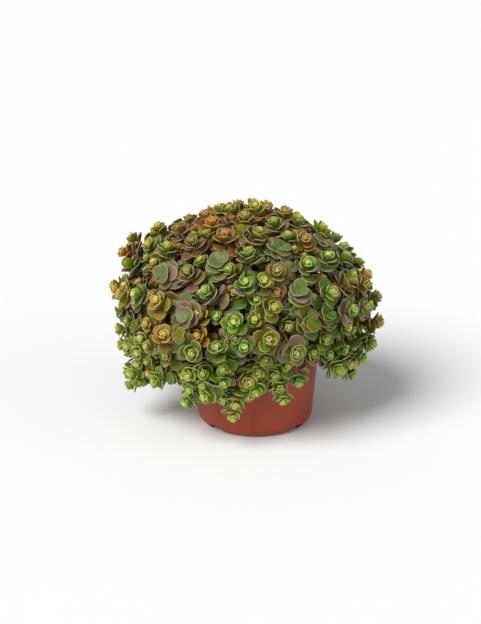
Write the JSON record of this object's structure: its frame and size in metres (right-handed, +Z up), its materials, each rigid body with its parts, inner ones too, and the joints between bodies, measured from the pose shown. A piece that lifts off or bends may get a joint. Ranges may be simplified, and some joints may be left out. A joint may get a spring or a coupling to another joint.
{
  "type": "potted coral reef sedum",
  "caption": "Round brown nursery pot filled with soil, under a mound of branching stems with rosettes of round fleshy leaves that trail over the rim.",
  "frame": {"origin": "centre of the pot's flat underside", "axes": "+Z up along the pot's axis, -Y towards the viewer of the picture, +X to the viewer's right"},
  "size_m": [0.241, 0.2362, 0.2006],
  "materials": {
    "pot": "satin",
    "soil": "matte",
    "mound_leaves": "satin",
    "trailing_leaves": "satin"
  },
  "bodies": {
    "root": {"leafy_stem_01": "mound_leaves", "leafy_stem_02": "mound_leaves", "leafy_stem_03": "mound_leaves", "leafy_stem_04": "mound_leaves", "leafy_stem_05": "mound_leaves", "leafy_stem_06": "mound_leaves", "leafy_stem_07": "mound_leaves", "leafy_stem_08": "mound_leaves", "leafy_stem_09": "mound_leaves", "leafy_stem_10": "mound_leaves", "leafy_stem_11": "mound_leaves", "leafy_stem_12": "mound_leaves", "leafy_stem_13": "mound_leaves", "leafy_stem_14": "mound_leaves", "leafy_stem_15": "mound_leaves", "leafy_stem_16": "mound_leaves", "leafy_stem_17": "mound_leaves", "leafy_stem_18": "mound_leaves", "leafy_stem_19": "mound_leaves", "leafy_stem_20": "mound_leaves", "leafy_stem_21": "mound_leaves", "leafy_stem_22": "mound_leaves", "leafy_stem_23": "mound_leaves", "leafy_stem_24": "mound_leaves", "leafy_stem_25": "mound_leaves", "leafy_stem_26": "mound_leaves", "leafy_stem_27": "mound_leaves", "leafy_stem_28": "mound_leaves", "leafy_stem_29": "mound_leaves", "pot": "pot", "potting_soil": "soil", "trailing_stem_01": "trailing_leaves", "trailing_stem_02": "trailing_leaves", "trailing_stem_03": "trailing_leaves", "trailing_stem_04": "trailing_leaves", "trailing_stem_05": "trailing_leaves", "trailing_stem_06": "trailing_leaves", "trailing_stem_07": "trailing_leaves", "trailing_stem_08": "trailing_leaves", "trailing_stem_09": "trailing_leaves", "trailing_stem_10": "trailing_leaves", "trailing_stem_11": "trailing_leaves", "trailing_stem_12": "trailing_leaves", "trailing_stem_13": "trailing_leaves", "trailing_stem_14": "trailing_leaves", "trailing_stem_15": "trailing_leaves", "trailing_stem_16": "trailing_leaves", "trailing_stem_17": "trailing_leaves", "trailing_stem_18": "trailing_leaves", "trailing_stem_19": "trailing_leaves"}
  },
  "joints": []
}
